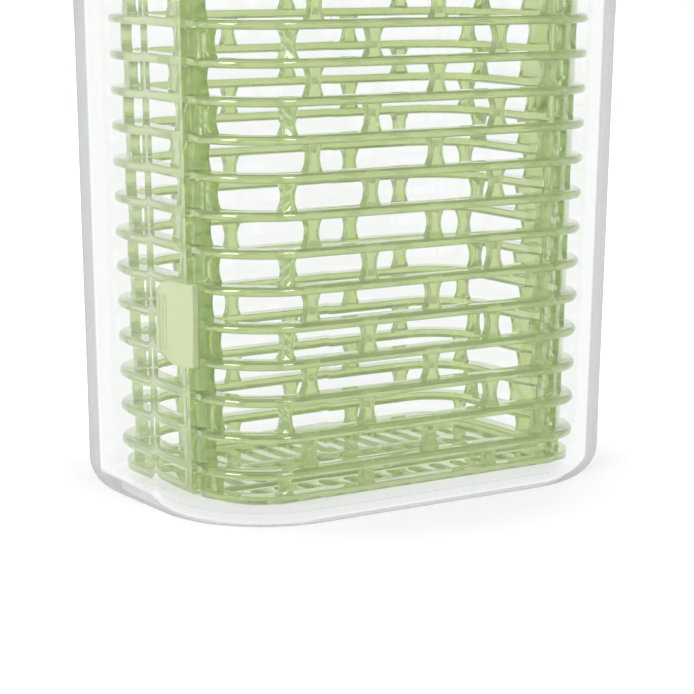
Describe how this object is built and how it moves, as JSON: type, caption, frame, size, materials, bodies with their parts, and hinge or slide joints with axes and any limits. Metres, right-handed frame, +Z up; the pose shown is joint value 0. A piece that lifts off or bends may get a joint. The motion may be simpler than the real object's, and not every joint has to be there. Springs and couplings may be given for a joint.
{
  "type": "herb keeper",
  "caption": "Tall clear tapered container with a slotted two-half basket that clips shut inside it, and a press-on lid with a soft seal.",
  "frame": {"origin": "middle of the container's underside", "axes": "+Z up, wide front face towards -Y, the basket's clip on the -X side"},
  "size_m": [0.1584, 0.1116, 0.209],
  "materials": {
    "clear_container": "clear, polished",
    "green_basket": "translucent pale green, satin",
    "white_lid": "white, satin",
    "soft_seal": "pale silicone"
  },
  "bodies": {
    "keeper": {"container": "clear_container", "basket_front": "green_basket", "basket_rear": "green_basket"},
    "lid": {"lid": "white_lid", "lid_seal": "soft_seal"}
  },
  "joints": [
    {"name": "lid_lift", "type": "slide", "parent": "keeper", "child": "lid", "axis": [0, 0, 1], "range_m": [0, 0.06]}
  ]
}
